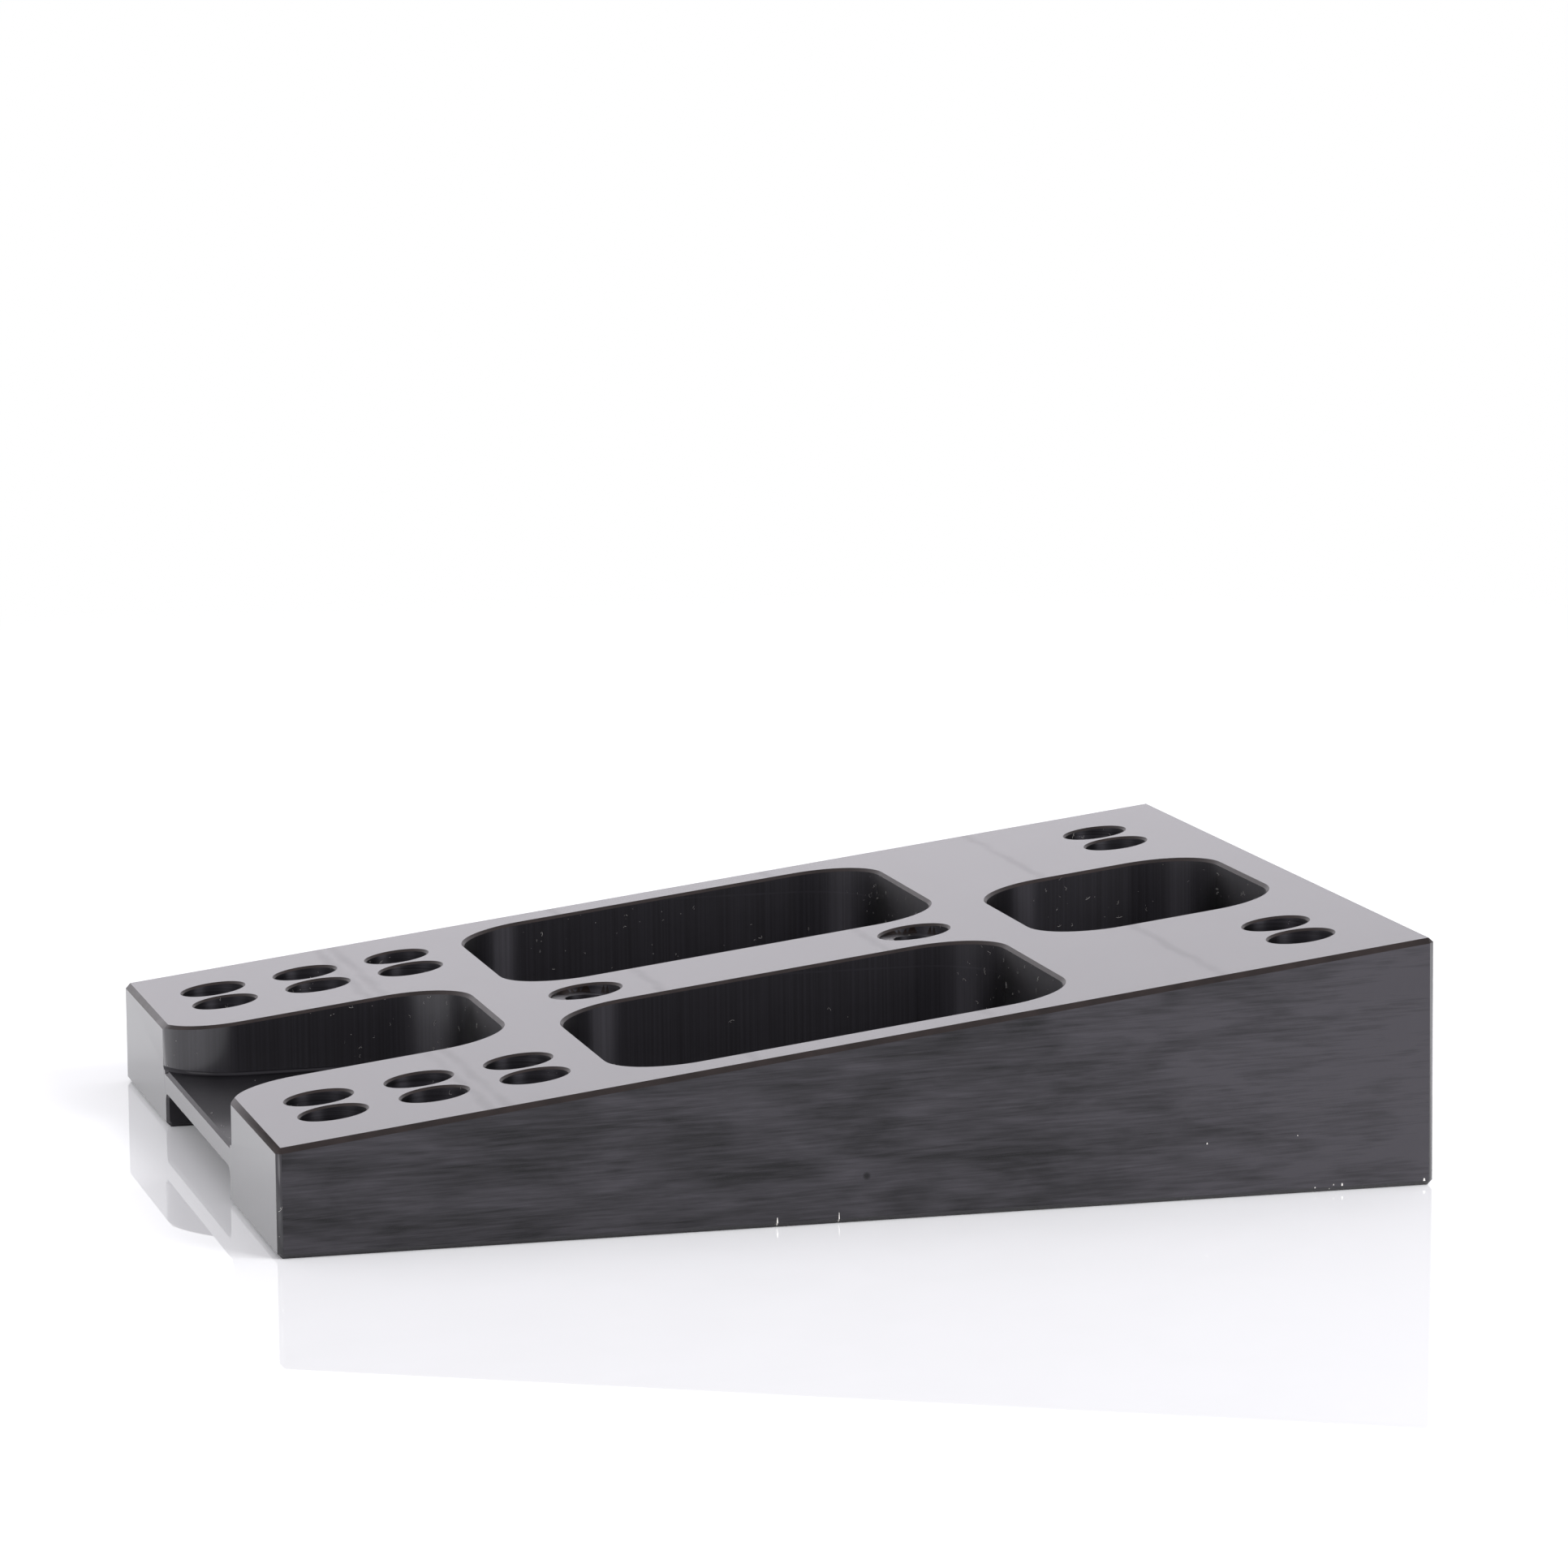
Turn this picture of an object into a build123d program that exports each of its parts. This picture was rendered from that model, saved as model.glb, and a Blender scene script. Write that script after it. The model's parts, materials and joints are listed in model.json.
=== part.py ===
import os
from math import cos, radians, sqrt, tan

from build123d import *

# Wedge-shaped mounting block, milled from one piece of aluminium. Its sloping face has
# three closed windows, a bay that opens through the thin end, sixteen clearance holes in
# pairs and two spot-faced holes on the centre line. A channel runs along the underside.
#
# Frame: origin at the middle of the base, +X towards the thick end of the wedge,
# +Y across the block, +Z up. Sizes are in millimetres and degrees.

# Wedge
block_length = 150.0
block_width = 120.0
thin_end_height = 13.8
wedge_angle = 7.0
outer_chamfer = 0.65

# Sizes marked "along the face" are laid out up the slope, as on a drawing of that face.

# Windows and bay: milled straight down to one common floor
floor_height = 7.65
floor_fillet = 0.5
rim_chamfer = 0.4
corner_radius = 10.0

long_window_centre = 75.7  # along the face, from the thin end
long_window_length = 60.1  # along the face
long_window_width = 44.4
centre_rib_width = 18.7

thick_window_gap = 6.2  # along the face, from the thick end
thick_window_length = 32.9  # along the face
thick_window_width = 39.3

bay_depth = 39.1  # along the face, from the thin end
bay_width = 39.3
mouth_radius = 10.0
mouth_run_out = 0.3
mouth_chamfer = 0.42

# Channel under the block, which leaves a foot along each side
channel_width = 50.4
channel_height = 4.35
channel_fillet = 1.0
channel_chamfer = 0.4

# Clearance holes for M8 screws, in pairs: three columns of four at the thin end and one
# column of four at the thick end
screw_bore = 8.4
bore_chamfer = 0.3
inner_row_spacing = 70.0
outer_row_spacing = 90.0
first_column = 10.0  # along the face, from the thin end
column_pitch = 13.0  # along the face
column_count = 3
last_column = 13.0  # along the face, from the thick end

# Two holes with a spot face on the centre line, in the rib between the long windows
centre_bore = 5.5
spot_face = 9.3
spot_face_depth = 1.0
centre_hole_spacing = 45.65  # along the face

# Worked out from the sizes above
level = cos(radians(wedge_angle))
rise = tan(radians(wedge_angle))
thick_end_height = thin_end_height + block_length * rise
thin_end = -block_length / 2
thick_end = block_length / 2
side = block_width / 2
cut_depth = thick_end_height - floor_height

long_window_x = thin_end + long_window_centre * level
long_window_y = (centre_rib_width + long_window_width) / 2
thick_window_x = thick_end - (thick_window_gap + thick_window_length / 2) * level

columns = [
    thin_end + (first_column + number * column_pitch) * level
    for number in range(column_count)
]
columns.append(thick_end - last_column * level)
row_offsets = (inner_row_spacing / 2, outer_row_spacing / 2)
screw_points = [
    (column, way * offset) for column in columns for offset in row_offsets for way in (-1, 1)
]

half_spacing = centre_hole_spacing * level / 2
centre_columns = (long_window_x - half_spacing, long_window_x + half_spacing)

# Half the width of the bay's mouth where the bevel on its floor ends
mouth_inset = mouth_radius - mouth_run_out - mouth_chamfer
mouth_half_width = bay_width / 2 + mouth_radius - sqrt(mouth_radius**2 - mouth_inset**2)

# The sloping face, with its origin at the thin end
face_plane = Plane(
    origin=(thin_end, 0, thin_end_height),
    x_dir=(1, 0, rise),
    z_dir=(-rise, 0, 1),
)


def bay_outline(reach, growth):
    # Outline of the bay, grown all round: reach is how far it runs in from the thin end,
    # which is at zero here, and two rounds widen its mouth
    with BuildSketch() as outline:
        with Locations(((reach - mouth_run_out) / 2 + growth, 0)):
            Rectangle(reach + mouth_run_out, bay_width + 2 * growth)
        fillet(outline.vertices().group_by(Axis.X)[-1], radius=corner_radius + growth)
        with Locations((growth - mouth_run_out, 0)):
            Rectangle(
                mouth_radius,
                bay_width + 4 * mouth_radius,
                align=(Align.MAX, Align.CENTER),
            )
        mouth_corners = outline.vertices().group_by(Axis.X)[1]
        fillet(mouth_corners.group_by(SortBy.DISTANCE)[0], radius=mouth_radius - growth)
    return outline.sketch


bay = bay_outline(bay_depth * level, 0)
bevel_top = bay_outline(bay_depth, rim_chamfer)
bevel_bottom = bay_outline(bay_depth, -rim_chamfer)

# Cutter that breaks the edge of the bay on the sloping face
with BuildPart() as bay_bevel:
    with BuildSketch(face_plane):
        add(bevel_top)
    with BuildSketch(face_plane.offset(-2 * rim_chamfer)):
        add(bevel_bottom)
    loft(ruled=True)

with BuildPart() as block:
    # Wedge with every outside edge broken
    with BuildSketch(Plane.XZ):
        with BuildLine():
            Polyline(
                (thin_end, 0),
                (thick_end, 0),
                (thick_end, thick_end_height),
                (thin_end, thin_end_height),
                close=True,
            )
        make_face()
    extrude(amount=side, both=True)
    chamfer(block.edges(), length=outer_chamfer)

    # Windows and bay
    with BuildSketch(Plane.XY.offset(floor_height)):
        with Locations((long_window_x, long_window_y), (long_window_x, -long_window_y)):
            RectangleRounded(long_window_length * level, long_window_width, corner_radius)
        with Locations((thick_window_x, 0)):
            RectangleRounded(thick_window_length * level, thick_window_width, corner_radius)
        with Locations((thin_end, 0)):
            add(bay)
    extrude(amount=cut_depth, mode=Mode.SUBTRACT)

    # Rounds between their walls and the floor
    floor_edges = block.edges().filter_by_position(Axis.Z, floor_height, floor_height)
    mouth_edge = floor_edges.sort_by(Axis.X)[0]
    fillet(floor_edges - [mouth_edge], radius=floor_fillet)

    # Bevel on the floor at the mouth, stopped short of the rounds at its two ends
    with BuildSketch(Plane.YZ.offset(thin_end)):
        with Locations((0, floor_height - mouth_chamfer)):
            Rectangle(
                2 * (mouth_half_width - floor_fillet + mouth_chamfer),
                4 * mouth_chamfer,
                align=(Align.CENTER, Align.MIN),
            )
    extrude(amount=mouth_chamfer, taper=45, mode=Mode.SUBTRACT)

    # Channel between the feet
    with BuildSketch(Plane.YZ.offset(thin_end)) as channel:
        Rectangle(channel_width, channel_height, align=(Align.CENTER, Align.MIN))
        fillet(channel.vertices().group_by(Axis.Y)[-1], radius=channel_fillet)
    extrude(amount=block_length, mode=Mode.SUBTRACT)

    # Screw holes
    with Locations(*screw_points):
        Hole(radius=screw_bore / 2)

    # Centre holes: each spot face is level, and its depth is measured at the hole's axis
    for column in centre_columns:
        with Locations((column, 0, thin_end_height + (column - thin_end) * rise)):
            CounterBoreHole(
                radius=centre_bore / 2,
                counter_bore_radius=spot_face / 2,
                counter_bore_depth=spot_face_depth,
            )

    # Broken edges on the sloping face
    loops = block.faces().filter_by(face_plane).sort_by(SortBy.AREA)[-1].inner_wires()
    window_edges = [edge for loop in loops if len(loop.edges()) > 1 for edge in loop.edges()]
    hole_edges = [edge for loop in loops if len(loop.edges()) == 1 for edge in loop.edges()]
    chamfer(window_edges, length=rim_chamfer)
    chamfer(hole_edges, length=bore_chamfer)
    add(bay_bevel.part, mode=Mode.SUBTRACT)

    # Broken edges under the block: the holes, the channel's ends and the feet
    underside = block.edges().filter_by_position(Axis.Z, 0, 0)
    chamfer(underside.filter_by(GeomType.CIRCLE), length=bore_chamfer)
    margin = channel_chamfer / 2
    channel_edges = [
        edge
        for edge in block.edges()
        if abs(edge.center().Y) < channel_width / 2 + margin
        and edge.center().Z < channel_height + margin
        and (abs(edge.center().X) > thick_end - outer_chamfer or edge.center().Z < margin)
        and edge.length < block_length
    ]
    chamfer(channel_edges, length=channel_chamfer)

block.part.label = "block"
os.makedirs("parts", exist_ok=True)
export_step(block.part, "parts/block.step")
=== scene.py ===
import json
import math

import bmesh
import bpy
from mathutils import Euler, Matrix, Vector


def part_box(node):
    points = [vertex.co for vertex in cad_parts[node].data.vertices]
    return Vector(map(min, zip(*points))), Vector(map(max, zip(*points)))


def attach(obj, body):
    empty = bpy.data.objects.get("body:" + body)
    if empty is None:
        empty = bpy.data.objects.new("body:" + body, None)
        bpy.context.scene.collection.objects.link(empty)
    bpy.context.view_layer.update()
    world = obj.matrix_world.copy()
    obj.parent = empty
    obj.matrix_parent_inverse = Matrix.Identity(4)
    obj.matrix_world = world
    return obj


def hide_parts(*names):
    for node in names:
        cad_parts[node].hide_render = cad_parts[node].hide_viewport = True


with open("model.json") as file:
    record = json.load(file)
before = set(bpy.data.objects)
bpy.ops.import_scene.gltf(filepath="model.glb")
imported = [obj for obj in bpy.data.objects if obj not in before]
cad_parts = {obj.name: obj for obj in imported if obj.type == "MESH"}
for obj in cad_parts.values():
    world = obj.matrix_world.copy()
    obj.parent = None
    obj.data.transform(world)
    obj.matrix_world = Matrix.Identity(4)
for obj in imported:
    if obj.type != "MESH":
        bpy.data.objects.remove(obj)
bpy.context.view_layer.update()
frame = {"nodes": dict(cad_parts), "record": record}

scene = bpy.context.scene
mm = 0.001

# What the CAD model was drawn to, in millimetres and degrees
blockSizes = {
    "wedgeAngle": 7.0,
    "thinEndHeight": 13.8,
    "floorHeight": 7.65,
    "channelHeight": 4.35,
    "smoothBelow": 36.0,  # edges that turn less than this are part of a round
    "mergeBelow": 0.0005,
    "holeReach": 5.0,  # how far a hole's faces can be from its axis
    "floorBand": 0.52,  # the floor and the round up to the wall
    "touching": 0.02,
}

low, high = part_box("block")
thinEnd, thickEnd, side = low.x, high.x, high.y
rise = math.tan(math.radians(blockSizes["wedgeAngle"]))
faceNormal = Vector((-rise, 0, 1)).normalized()


def faceHeight(x):
    return blockSizes["thinEndHeight"] * mm + (x - thinEnd) * rise


def hexColour(text):
    # sRGB hex to the linear colour that shaders take
    parts = [int(text[at:at + 2], 16) / 255 for at in (1, 3, 5)]
    linear = [p / 12.92 if p <= 0.04045 else ((p + 0.055) / 1.055) ** 2.4 for p in parts]
    return (*linear, 1.0)


def addNode(tree, kind, links=None, **settings):
    # Adds one node. links gives an input's identifier and either a value or the output
    # that feeds it
    node = tree.nodes.new(kind)
    for name, value in settings.items():
        setattr(node, name, value)
    for key, value in (links or {}).items():
        socket = next(s for s in node.inputs if s.identifier == key)
        if isinstance(value, bpy.types.NodeSocket):
            tree.links.new(value, socket)
        else:
            socket.default_value = value
    return node


def inMillimetres(tree, stretch, turn=(0.0, 0.0, 0.0)):
    # Object coordinates, turned, then shrunk so that one unit is the given length
    place = addNode(tree, "ShaderNodeTexCoord").outputs["Object"]
    turned = addNode(tree, "ShaderNodeMapping", {
        "Vector": place, "Rotation": [math.radians(angle) for angle in turn],
    }).outputs[0]
    return addNode(tree, "ShaderNodeMapping", {
        "Vector": turned, "Scale": [1 / (length * mm) for length in stretch],
    }).outputs[0]


def noiseOf(tree, stretch, turn=(0.0, 0.0, 0.0), detail=3.0, distortion=0.0):
    return addNode(tree, "ShaderNodeTexNoise", {
        "Vector": inMillimetres(tree, stretch, turn), "Scale": 1.0, "Detail": detail,
        "Distortion": distortion,
    }).outputs["Fac"]


def spread(tree, value, fromLow, fromHigh, toLow=0.0, toHigh=1.0):
    return addNode(tree, "ShaderNodeMapRange", {
        "Value": value, "From Min": fromLow, "From Max": fromHigh,
        "To Min": toLow, "To Max": toHigh,
    }).outputs[0]


def combine(tree, operation, first, second=0.0):
    return addNode(tree, "ShaderNodeMath", {"Value": first, "Value_001": second},
                   operation=operation).outputs[0]


def along(tree, axis):
    place = addNode(tree, "ShaderNodeTexCoord").outputs["Object"]
    return addNode(tree, "ShaderNodeSeparateXYZ", {"Vector": place}).outputs[axis]


def emptyMaterial(name):
    material = bpy.data.materials.new(name)
    material.use_nodes = True
    material.node_tree.nodes.clear()
    return material


def blend(tree, factor, first, second):
    mix = addNode(tree, "ShaderNodeMix", {
        "Factor_Float": factor, "A_Color": first, "B_Color": second,
    }, data_type="RGBA")
    return next(s for s in mix.outputs if s.identifier == "Result_Color")


def roughnessOf(tree, noise, look, less, more):
    # Wanders either side of the finish's own roughness
    return spread(tree, noise, 0.3, 0.7, look["roughness"] - less, look["roughness"] + more)


def anodised(name, look, marks):
    # Black anodised aluminium: the dyed oxide is near black seen square on, and a pale
    # grey mirror of the room at a low angle. marks gives the tone, height and roughness
    # that the cutter left
    material = emptyMaterial(name)
    tree = material.node_tree
    tone, height, roughness = marks(tree, look)
    colour = blend(tree, tone, hexColour(look["dark"]), hexColour(look["light"]))
    bump = addNode(tree, "ShaderNodeBump", {
        "Height": height, "Distance": look["depth"] * mm, "Strength": 1.0,
    })
    # upright stretches the sheen up the walls, as level cutter marks do
    grain = addNode(tree, "ShaderNodeCombineXYZ", {"Z": 1.0})
    surface = addNode(tree, "ShaderNodeBsdfPrincipled", {
        "Base Color": colour, "Metallic": 1.0, "Roughness": roughness,
        "Normal": bump.outputs[0], "Coat Weight": look["coat"],
        "Coat Roughness": look["skin"], "Coat IOR": 1.5, "Coat Normal": bump.outputs[0],
        "Anisotropic": look.get("upright", 0.0), "Tangent": grain.outputs[0],
    })
    addNode(tree, "ShaderNodeOutputMaterial", {"Surface": surface.outputs[0]})
    return material


# Face-milled: a wide cutter crossed the block in passes, and each pass ends in a fine
# line. The eye gets an even satin with a hint of grain
faceMilled = {
    "dark": "#2E2C31",
    "light": "#38363B",
    "roughness": 0.55,
    "skin": 0.12,
    "depth": 0.0012,
    "grainWidth": 0.3,
    "grainLength": 2.5,
    "passLines": (27.0, 29.2, 61.0, 91.7, 122.0),  # from the thin end
    "lineWidth": 0.9,
    "lineWander": 0.35,
    "lineRough": 0.4,  # added to the roughness where two passes meet
    "coat": 1.0,
}


def faceMilledMarks(tree, look):
    grain = noiseOf(tree, (look["grainWidth"], look["grainLength"], look["grainWidth"]),
                    turn=(0, 0, 14))
    cloud = noiseOf(tree, (9, 14, 9), detail=4)
    wander = combine(tree, "MULTIPLY", spread(tree, noiseOf(tree, (4, 4, 4)), 0.3, 0.7, -1, 1),
                     look["lineWander"] * mm)
    x = combine(tree, "ADD", along(tree, "X"), wander)
    lines = 0.0
    for place in look["passLines"]:
        away = combine(tree, "ABSOLUTE", combine(tree, "SUBTRACT", x, thinEnd + place * mm))
        line = spread(tree, away, 0.0, look["lineWidth"] * mm, 1.0, 0.0)
        lines = combine(tree, "ADD", lines, line)
    worn = combine(tree, "MULTIPLY", lines, spread(tree, cloud, 0.35, 0.65, 0.2, 1.0))
    tone = combine(tree, "SUBTRACT", spread(tree, grain, 0.3, 0.7), worn)
    rough = combine(tree, "ADD", spread(tree, cloud, 0.3, 0.7, -0.012, 0.012),
                    combine(tree, "MULTIPLY", worn, look["lineRough"]))
    return tone, grain, combine(tree, "ADD", rough, look["roughness"])


# Finished lengthwise with a belt: streaks and stains in the dye, darker and lighter
# patches, and a soft blurred sheen
beltedSide = {
    "dark": "#100F12",
    "light": "#3B393E",
    "roughness": 0.55,
    "skin": 0.25,
    "depth": 0.004,
    "streakLength": 7.0,
    "streakWidth": 0.45,
    "patchLength": 15.0,
    "patchWidth": 4.5,
    "paintedLightFrom": 25.0,  # painted light: the side is paler from here to the thick end, standing in for the front-right soft box's light
    "paintedLight": 0.6,
    "pitPlace": (-0.25, -60.0, 5.9),
    "pitSize": 0.6,
    "coat": 0.5,
}


def beltedSideMarks(tree, look):
    streaks = noiseOf(tree, (look["streakLength"], 3, look["streakWidth"]), detail=4)
    scratches = noiseOf(tree, (14, 3, 0.16), turn=(0, 3, 0), detail=2)
    patches = noiseOf(tree, (look["patchLength"], 9, look["patchWidth"]), detail=5,
                      distortion=0.6)
    both = combine(tree, "ADD", combine(tree, "MULTIPLY", streaks, 0.4),
                   combine(tree, "MULTIPLY", patches, 0.6))
    tone = spread(tree, combine(tree, "ADD", both, combine(tree, "MULTIPLY", scratches, 0.2)),
                  0.45, 0.77)
    # Painted light: the tone grows paler towards the thick end, standing in for the front-right
    # soft box's light
    paintedLight = spread(tree, along(tree, "X"), look["paintedLightFrom"] * mm, thickEnd, 0.0, look["paintedLight"])
    place = addNode(tree, "ShaderNodeTexCoord").outputs["Object"]
    away = addNode(tree, "ShaderNodeVectorMath", {
        "Vector": place, "Vector_001": [value * mm for value in look["pitPlace"]],
    }, operation="DISTANCE").outputs["Value"]
    pit = spread(tree, away, 0.4 * look["pitSize"] * mm, look["pitSize"] * mm)
    tone = combine(tree, "MULTIPLY", combine(tree, "ADD", tone, paintedLight), pit)
    rough = roughnessOf(tree, patches, look, 0.03, 0.03)
    return tone, scratches, rough


# End-milled: the cutter's side ran across the end and left fine upright lines
endMilled = {
    "dark": "#242226",
    "light": "#302E33",
    "roughness": 0.55,
    "skin": 0.15,
    "depth": 0.0015,
    "lineWidth": 0.35,
    "coat": 0.86,
}


def endMilledMarks(tree, look):
    lines = noiseOf(tree, (3, look["lineWidth"], 30), detail=3)
    cloud = noiseOf(tree, (6, 6, 3), detail=4)
    return (spread(tree, cloud, 0.3, 0.7), lines,
            roughnessOf(tree, cloud, look, 0.015, 0.015))


# Pocket walls: upright lines from an end mill's flutes, all round the corners
pocketMilled = {
    "stepHeight": 22.8,  # where one depth of cut ended, in the long windows only
    "stepEnd": 30.5,
    "stepWidth": 0.16,
    "dark": "#28272A",
    "light": "#302F33",
    "roughness": 0.42,
    "skin": 0.22,
    "depth": 0.0006,
    "lineWidth": 0.3,
    "coat": 0.9,
    "upright": 0.92,
}


def pocketMilledMarks(tree, look):
    lines = noiseOf(tree, (look["lineWidth"], look["lineWidth"], 40), detail=3)
    cloud = noiseOf(tree, (5, 5, 3), detail=4)
    away = combine(tree, "ABSOLUTE", combine(tree, "SUBTRACT", along(tree, "Z"),
                                             look["stepHeight"] * mm))
    step = spread(tree, away, 0.0, look["stepWidth"] * mm, 1.0, 0.0)
    inWindow = combine(tree, "LESS_THAN", along(tree, "X"), look["stepEnd"] * mm)
    step = combine(tree, "MULTIPLY", combine(tree, "MULTIPLY", step, inWindow),
                   spread(tree, cloud, 0.35, 0.6, 0.3, 2.2))
    tone = combine(tree, "ADD", spread(tree, lines, 0.3, 0.7), step)
    return (tone, lines,
            roughnessOf(tree, cloud, look, 0.03, 0.03))


# Pocket floors: smooth, from the end of the same cutter
pocketFloor = {
    "dark": "#161518",
    "light": "#201F23",
    "roughness": 0.6,
    "skin": 0.12,
    "depth": 0.001,
    "swirl": 0.5,
    "coat": 0.3,
}


def pocketFloorMarks(tree, look):
    cloud = noiseOf(tree, (6, 6, 6), detail=4)
    swirl = noiseOf(tree, (look["swirl"], 4, 4), detail=2, distortion=1.0)
    return (spread(tree, cloud, 0.3, 0.7), swirl,
            roughnessOf(tree, cloud, look, 0.02, 0.03))


# Bored: fine level rings down the hole
bored = {
    "dark": "#262528",
    "light": "#39383C",
    "roughness": 0.45,
    "skin": 0.22,
    "depth": 0.003,
    "ringPitch": 0.22,
    "coat": 0.55,
    "upright": 0.8,
}


def boredMarks(tree, look):
    rings = noiseOf(tree, (20, 20, look["ringPitch"]), detail=2)
    cloud = noiseOf(tree, (2, 2, 2), detail=4)
    return (spread(tree, rings, 0.3, 0.7), rings,
            roughnessOf(tree, cloud, look, 0.05, 0.05))


# Broken edges: dye a little thinner and browner where the chamfer tool rubbed
brokenEdge = {
    "dark": "#1B1513",
    "light": "#29211F",
    "roughness": 0.55,
    "skin": 0.2,
    "depth": 0.001,
    "coat": 0.4,
}


def brokenEdgeMarks(tree, look):
    cloud = noiseOf(tree, (3, 3, 3), detail=5)
    return (spread(tree, cloud, 0.3, 0.7), cloud,
            roughnessOf(tree, cloud, look, 0.03, 0.05))


# Underside: plain milled, with rub marks from whatever it stood on
underside = {
    "dark": "#1E1C20",
    "light": "#2C2A2F",
    "roughness": 0.55,
    "skin": 0.22,
    "depth": 0.002,
    "coat": 0.8,
}


def undersideMarks(tree, look):
    lines = noiseOf(tree, (0.5, 25, 5), detail=3)
    rub = noiseOf(tree, (8, 8, 8), detail=5)
    return (spread(tree, rub, 0.3, 0.7), lines,
            roughnessOf(tree, rub, look, 0.04, 0.06))


finishes = {
    "faceMilled": anodised("blackAnodisedFaceMilled", faceMilled, faceMilledMarks),
    "beltedSide": anodised("blackAnodisedBeltedSide", beltedSide, beltedSideMarks),
    "endMilled": anodised("blackAnodisedEndMilled", endMilled, endMilledMarks),
    "pocketMilled": anodised("blackAnodisedPocketMilled", pocketMilled, pocketMilledMarks),
    "pocketFloor": anodised("blackAnodisedPocketFloor", pocketFloor, pocketFloorMarks),
    "bored": anodised("blackAnodisedBored", bored, boredMarks),
    "brokenEdge": anodised("blackAnodisedBrokenEdge", brokenEdge, brokenEdgeMarks),
    "underside": anodised("blackAnodisedUnderside", underside, undersideMarks),
}
order = list(finishes)
print("finishes made:", len(order))

# Every hole's place, from the record's bolt patterns
holes = []
for mount in frame["record"]["mounts"]:
    if mount["kind"] == "bolt_pattern":
        sizes = mount["dims"]
        for way in (-1, 1):
            for turn in (-1, 1):
                holes.append((mount["pos_m"][0] + way * sizes.get("spacing_x_mm", 0) * mm / 2,
                              mount["pos_m"][1] + turn * sizes.get("spacing_y_mm", 0) * mm / 2))


def finishOf(centre, normal):
    near = blockSizes["touching"] * mm
    if normal.dot(faceNormal) > 0.9999 and abs(centre.z - faceHeight(centre.x)) < near:
        return "faceMilled"
    if abs(normal.y) > 0.999 and abs(centre.y) > side - near:
        return "beltedSide"
    if abs(normal.x) > 0.999 and abs(centre.x) > thickEnd - near:
        return "endMilled"
    inHole = any(math.hypot(centre.x - x, centre.y - y) < blockSizes["holeReach"] * mm
                 for x, y in holes)
    if normal.z < -0.999 or centre.z < blockSizes["channelHeight"] * mm - near:
        return "bored" if inHole and abs(normal.z) < 0.01 else "underside"
    if abs(normal.z) < 0.01:
        return "bored" if inHole else "pocketMilled"
    if centre.z < (blockSizes["floorHeight"] + blockSizes["floorBand"]) * mm:
        return "pocketFloor"
    if normal.z > 0.999:
        return "bored"
    return "brokenEdge"


def dressBlock():
    # A copy of the CAD solid with its seams merged, rounds smoothed and a finish on
    # each kind of face
    shape = bmesh.new()
    shape.from_mesh(frame["nodes"]["block"].data)
    bmesh.ops.remove_doubles(shape, verts=shape.verts, dist=blockSizes["mergeBelow"] * mm)
    for face in shape.faces:
        face.smooth = True
        face.material_index = order.index(finishOf(face.calc_center_median(), face.normal))
    limit = math.radians(blockSizes["smoothBelow"])
    for edge in shape.edges:
        edge.smooth = len(edge.link_faces) == 2 and edge.calc_face_angle() < limit
    mesh = bpy.data.meshes.new("dressedBlock")
    shape.to_mesh(mesh)
    shape.free()
    for finish in finishes.values():
        mesh.materials.append(finish)
    piece = bpy.data.objects.new("dressedBlock", mesh)
    scene.collection.objects.link(piece)
    even = piece.modifiers.new("evenNormals", "WEIGHTED_NORMAL")
    even.keep_sharp = True
    return piece


def plainMesh(piece):
    # Turns what the modifiers give into the piece's own mesh
    shown = piece.evaluated_get(bpy.context.evaluated_depsgraph_get())
    mesh = bpy.data.meshes.new_from_object(shown)
    piece.modifiers.clear()
    piece.data = mesh
    return piece


block = plainMesh(dressBlock())
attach(block, "root")
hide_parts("block")
print("block dressed:", len(block.data.polygons), "faces")

# Lint: fine pale fibres and specks that cling inside the pockets and holes
lint = {
    "shade": "#8C8986",
    "colour": "#E4E2DE",
    "fibresPerSquareMetre": 100000.0,
    "specksPerSquareMetre": 170000.0,
    "fibreLength": 0.9,
    "fibreWidth": 0.036,
    "fibreBend": 0.8,
    "speckSize": 0.08,
    "clusterScale": 110.0,  # clusters in a metre
    "lowest": 1.5,  # none hangs out of the holes below
    "seed": 7,
}

cotton = emptyMaterial("paleCottonLint")  # matt, soft and almost white
tree = cotton.node_tree
shade = spread(tree, noiseOf(tree, (0.4, 0.4, 0.4), detail=2), 0.3, 0.7)
surface = addNode(tree, "ShaderNodeBsdfPrincipled", {
    "Base Color": blend(tree, shade, hexColour(lint["shade"]), hexColour(lint["colour"])),
    "Roughness": 0.9, "IOR": 1.46,
})
addNode(tree, "ShaderNodeOutputMaterial", {"Surface": surface.outputs[0]})


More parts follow.
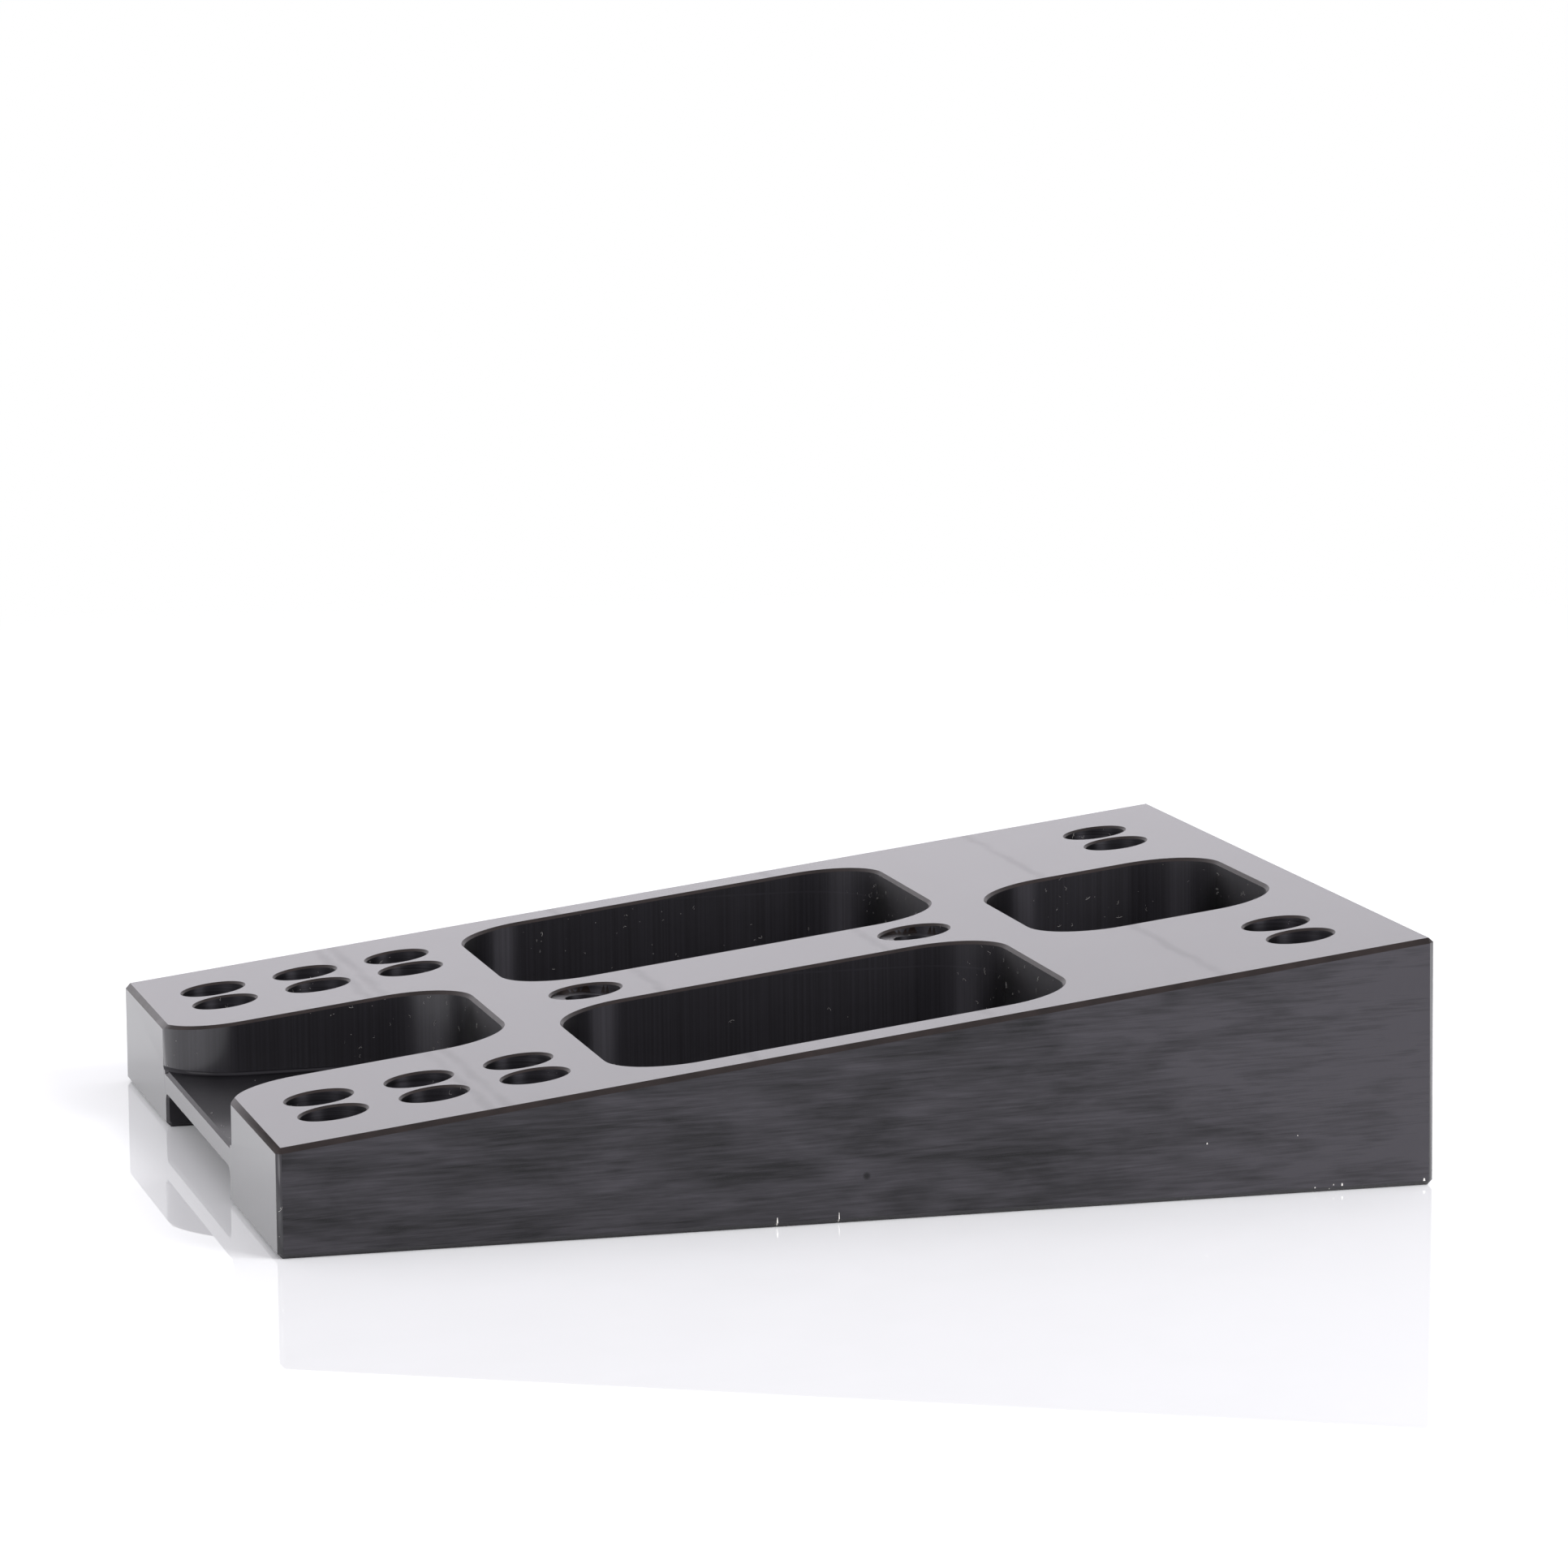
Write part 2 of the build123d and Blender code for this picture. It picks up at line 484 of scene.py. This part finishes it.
def lintTree():
    # Scatters bent fibres and round specks over the surface it is given, in clusters
    tree = bpy.data.node_groups.new("lintScatter", "GeometryNodeTree")
    face = tree.interface
    face.new_socket("Surface", in_out="INPUT", socket_type="NodeSocketGeometry")
    for name in ("Fibres", "Specks", "Fibre Length", "Fibre Width", "Fibre Bend", "Speck Size"):
        face.new_socket(name, in_out="INPUT", socket_type="NodeSocketFloat")
    face.new_socket("Seed", in_out="INPUT", socket_type="NodeSocketInt")
    face.new_socket("Lint", in_out="OUTPUT", socket_type="NodeSocketGeometry")
    given = addNode(tree, "NodeGroupInput").outputs
    place = addNode(tree, "GeometryNodeInputPosition").outputs[0]
    cluster = addNode(tree, "ShaderNodeTexNoise", {
        "Vector": place, "Scale": lint["clusterScale"], "Detail": 3.0,
    })
    gathered = spread(tree, cluster.outputs["Fac"], 0.5, 0.66, 0.06, 3.4)
    turn = addNode(tree, "FunctionNodeRandomValue", {
        "Min": (-0.25, -0.25, 0.0), "Max": (0.25, 0.25, 6.28), "Seed": given["Seed"],
    }, data_type="FLOAT_VECTOR").outputs[0]
    size = addNode(tree, "FunctionNodeRandomValue", {
        "Min_001": 0.35, "Max_001": 1.3, "Seed": given["Seed"],
    }, data_type="FLOAT").outputs[1]

    half = combine(tree, "MULTIPLY", given["Fibre Length"], 0.5)
    start = addNode(tree, "ShaderNodeCombineXYZ", {"X": combine(tree, "MULTIPLY", half, -1.0)})
    middle = addNode(tree, "ShaderNodeCombineXYZ", {
        "Y": combine(tree, "MULTIPLY", half, given["Fibre Bend"]),
        "X": combine(tree, "MULTIPLY", half, 0.3),
    })
    end = addNode(tree, "ShaderNodeCombineXYZ", {"X": half})
    path = addNode(tree, "GeometryNodeCurveQuadraticBezier", {
        "Resolution": 4, "Start": start.outputs[0], "Middle": middle.outputs[0],
        "End": end.outputs[0],
    })
    profile = addNode(tree, "GeometryNodeCurvePrimitiveCircle", {
        "Resolution": 3, "Radius": combine(tree, "MULTIPLY", given["Fibre Width"], 0.5),
    })
    fibre = addNode(tree, "GeometryNodeCurveToMesh", {
        "Curve": path.outputs[0], "Profile Curve": profile.outputs[0], "Fill Caps": True,
    })
    speck = addNode(tree, "GeometryNodeMeshIcoSphere", {
        "Radius": combine(tree, "MULTIPLY", given["Speck Size"], 0.5), "Subdivisions": 1,
    })
    height = addNode(tree, "ShaderNodeSeparateXYZ", {"Vector": place}).outputs["Z"]
    above = combine(tree, "GREATER_THAN", height, lint["lowest"] * mm)
    made = []
    for many, thing in (("Fibres", fibre), ("Specks", speck)):
        points = addNode(tree, "GeometryNodeDistributePointsOnFaces", {
            "Mesh": given["Surface"], "Density": combine(tree, "MULTIPLY", given[many], gathered),
            "Seed": given["Seed"],
        })
        placed = addNode(tree, "GeometryNodeInstanceOnPoints", {
            "Points": points.outputs["Points"], "Instance": thing.outputs[0], "Selection": above,
            "Rotation": points.outputs["Rotation"], "Scale": size,
        })
        turned = addNode(tree, "GeometryNodeRotateInstances", {
            "Instances": placed.outputs[0], "Rotation": turn,
        })
        made.append(turned.outputs[0])
    joined = addNode(tree, "GeometryNodeJoinGeometry")
    for part in made:
        tree.links.new(part, joined.inputs[0])
    real = addNode(tree, "GeometryNodeRealizeInstances", {"Geometry": joined.outputs[0]})
    dressed = addNode(tree, "GeometryNodeSetMaterial", {
        "Geometry": real.outputs[0], "Material": cotton,
    })
    out = addNode(tree, "NodeGroupOutput")
    tree.links.new(dressed.outputs[0], out.inputs[0])
    return tree


def scatterLint():
    # Only the pockets and holes are given to the scatter
    shape = bmesh.new()
    shape.from_mesh(block.data)
    keep = {order.index(name) for name in ("pocketMilled", "pocketFloor", "bored")}
    bmesh.ops.delete(shape, geom=[f for f in shape.faces if f.material_index not in keep],
                     context="FACES")
    mesh = bpy.data.meshes.new("lint")
    shape.to_mesh(mesh)
    shape.free()
    piece = bpy.data.objects.new("lint", mesh)
    scene.collection.objects.link(piece)
    scatter = piece.modifiers.new("scatter", "NODES")
    scatter.node_group = lintTree()
    values = {
        "Fibres": lint["fibresPerSquareMetre"], "Specks": lint["specksPerSquareMetre"],
        "Fibre Length": lint["fibreLength"] * mm, "Fibre Width": lint["fibreWidth"] * mm,
        "Fibre Bend": lint["fibreBend"], "Speck Size": lint["speckSize"] * mm,
        "Seed": lint["seed"],
    }
    for item in scatter.node_group.interface.items_tree:
        if item.in_out == "INPUT" and item.name in values:
            scatter[item.identifier] = values[item.name]
    return plainMesh(piece)


fibres = scatterLint()
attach(fibres, "root")
print("lint scattered:", len(fibres.data.polygons), "faces")

# Nicks and specks on the near side, mostly along its lower edge, where knocks went
# through the black to bare metal
nicks = {
    "colour": "#D9D6D2",
    "chamfer": 0.65,
    "proud": 0.012,
    # each is its place along the block, its lowest and highest point and its width, in
    # millimetres
    "places": ((-11.85, 0.25, 1.3, 0.2), (-3.87, 0.2, 1.45, 0.13), (58.95, 0.6, 0.78, 0.16),
               (60.95, 0.3, 0.45, 0.16), (61.45, 0.85, 1.0, 0.16), (62.6, 0.72, 1.05, 0.3),
               (73.7, 0.65, 1.0, 0.38), (44.5, 7.2, 7.42, 0.2), (56.6, 7.55, 7.68, 0.12)),
}


def bareMetal():
    # Bare aluminium where the skin is broken: bright and a little rough
    material = emptyMaterial("bareAluminiumNick")
    tree = material.node_tree
    scuff = noiseOf(tree, (0.2, 0.2, 0.2), detail=2)
    surface = addNode(tree, "ShaderNodeBsdfPrincipled", {
        "Base Color": hexColour(nicks["colour"]), "Metallic": 1.0,
        "Roughness": spread(tree, scuff, 0.3, 0.7, 0.35, 0.6),
    })
    addNode(tree, "ShaderNodeOutputMaterial", {"Surface": surface.outputs[0]})
    return material


def cutNicks():
    # Slivers that follow the side and its chamfer, a hair proud of both
    shape = bmesh.new()
    edge = nicks["chamfer"]
    for x, bottom, top, width in nicks["places"]:
        heights = sorted({bottom, top} | ({edge} if bottom < edge < top else set()))
        rows = []
        for z in heights:
            y = -side / mm + max(edge - z, 0) - nicks["proud"]
            slim = width * (0.35 if z == top else 0.8 if z == bottom else 1.0) / 2
            rows.append([shape.verts.new(Vector((x + way * slim, y, z)) * mm) for way in (-1, 1)])
        for lower, upper in zip(rows, rows[1:]):
            shape.faces.new((lower[0], lower[1], upper[1], upper[0]))
    mesh = bpy.data.meshes.new("edgeNicks")
    shape.to_mesh(mesh)
    shape.free()
    mesh.materials.append(bareMetal())
    piece = bpy.data.objects.new("edgeNicks", mesh)
    scene.collection.objects.link(piece)
    body = piece.modifiers.new("body", "SOLIDIFY")
    body.thickness = 2 * nicks["proud"] * mm
    body.offset = -1.0
    return plainMesh(piece)


chips = cutNicks()
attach(chips, "root")
print("nicks cut:", len(nicks["places"]))

# Camera: a long lens, a little above the block, at its thin end's near corner
cameraPlace = {
    "location": (-0.20972, -0.83485, 0.17569),
    "angles": (81.4907, 0.5540, -14.5048),
    "lens": 150.18,
}
cameraData = bpy.data.cameras.new("camera")
cameraData.lens = cameraPlace["lens"]
cameraData.sensor_width = 36.0
cameraData.clip_start, cameraData.clip_end = 0.01, 50.0
camera = bpy.data.objects.new("camera", cameraData)
camera.location = cameraPlace["location"]
camera.rotation_euler = Euler([math.radians(angle) for angle in cameraPlace["angles"]])
scene.collection.objects.link(camera)
scene.camera = camera

# Floor: polished white acrylic, white all through with a mirror-like skin
floorLook = {
    "colour": "#F4F5F6",
    "skinTint": (0.97, 1.0, 0.96),
    "shine": 0.34,
    "roughness": 0.015,
    "size": 8.0,
    "fadeFrom": 0.25,
    "fadeTo": 0.6,
}
floorMesh = bpy.data.meshes.new("floor")
half = floorLook["size"] / 2
floorMesh.from_pydata([(-half, -half, 0), (half, -half, 0), (half, half, 0), (-half, half, 0)],
                      [], [(0, 1, 2, 3)])
floor = bpy.data.objects.new("floor", floorMesh)
scene.collection.objects.link(floor)
acrylic = emptyMaterial("polishedWhiteAcrylic")
tree = acrylic.node_tree
body = addNode(tree, "ShaderNodeBsdfDiffuse", {"Color": hexColour(floorLook["colour"])})
skin = addNode(tree, "ShaderNodeBsdfGlossy", {
    "Color": [*(value * floorLook["shine"] for value in floorLook["skinTint"]), 1],
    "Roughness": floorLook["roughness"],
})
both = addNode(tree, "ShaderNodeAddShader", {
    "Shader": body.outputs[0], "Shader_001": skin.outputs[0],
})
# Far from the block the floor fades into the white of the room
path = addNode(tree, "ShaderNodeLightPath")
looked = combine(tree, "MAXIMUM", path.outputs["Is Camera Ray"],
                 combine(tree, "MAXIMUM", path.outputs["Is Glossy Ray"],
                         path.outputs["Is Transmission Ray"]))
place = addNode(tree, "ShaderNodeTexCoord").outputs["Object"]
away = addNode(tree, "ShaderNodeVectorMath", {"Vector": place}, operation="LENGTH")
far = spread(tree, away.outputs["Value"], floorLook["fadeFrom"], floorLook["fadeTo"])
white = addNode(tree, "ShaderNodeEmission", {"Color": (1, 1, 1, 1), "Strength": 1.0})
faded = addNode(tree, "ShaderNodeMixShader", {
    "Fac": combine(tree, "MULTIPLY", looked, far),
    "Shader": both.outputs[0], "Shader_001": white.outputs[0],
})
addNode(tree, "ShaderNodeOutputMaterial", {"Surface": faded.outputs[0]})
floorMesh.materials.append(acrylic)

# Room: white wherever it is seen or mirrored, dimmer as a light, so that the two soft
# boxes in front can cast their shadows
roomLook = {"colour": "#FCF9FF", "seen": 1.0, "mirrored": 1.21, "light": 0.56}
room = bpy.data.worlds.new("room")
room.use_nodes = True
scene.world = room
tree = room.node_tree
tree.nodes.clear()
path = addNode(tree, "ShaderNodeLightPath")
mirrored = combine(tree, "MAXIMUM", path.outputs["Is Glossy Ray"],
                   path.outputs["Is Transmission Ray"])
strength = spread(tree, mirrored, 0, 1, roomLook["light"], roomLook["mirrored"])
strengthSeen = addNode(tree, "ShaderNodeMix", {
    "Factor_Float": path.outputs["Is Camera Ray"], "A_Float": strength,
    "B_Float": roomLook["seen"],
}, data_type="FLOAT")
tinted = blend(tree, path.outputs["Is Camera Ray"], hexColour(roomLook["colour"]),
               (1, 1, 1, 1))
back = addNode(tree, "ShaderNodeBackground", {
    "Color": tinted, "Strength": strengthSeen.outputs[0],
})
addNode(tree, "ShaderNodeOutputWorld", {"Surface": back.outputs[0]})

# Each box stands at a distance from the middle, turned from +X, and tilted down
softBoxes = {
    "frontRight": {"turn": -45, "tilt": 27, "distance": 1.1, "size": 0.7, "power": 8.2},
    "left": {"turn": -160, "tilt": 32, "distance": 1.1, "size": 0.7, "power": 3.2},
}
for name, box in softBoxes.items():
    turn, tilt = math.radians(box["turn"]), math.radians(box["tilt"])
    away = Vector((math.cos(turn) * math.cos(tilt), math.sin(turn) * math.cos(tilt),
                   math.sin(tilt)))
    lamp = bpy.data.lights.new(name, "AREA")
    lamp.shape = "SQUARE"
    lamp.size = box["size"]
    lamp.energy = box["power"]
    stand = bpy.data.objects.new(name, lamp)
    stand.location = away * box["distance"]
    stand.rotation_euler = away.to_track_quat("Z", "Y").to_euler()
    scene.collection.objects.link(stand)
scene.view_settings.view_transform = "Standard"
print("camera, floor and lights set")
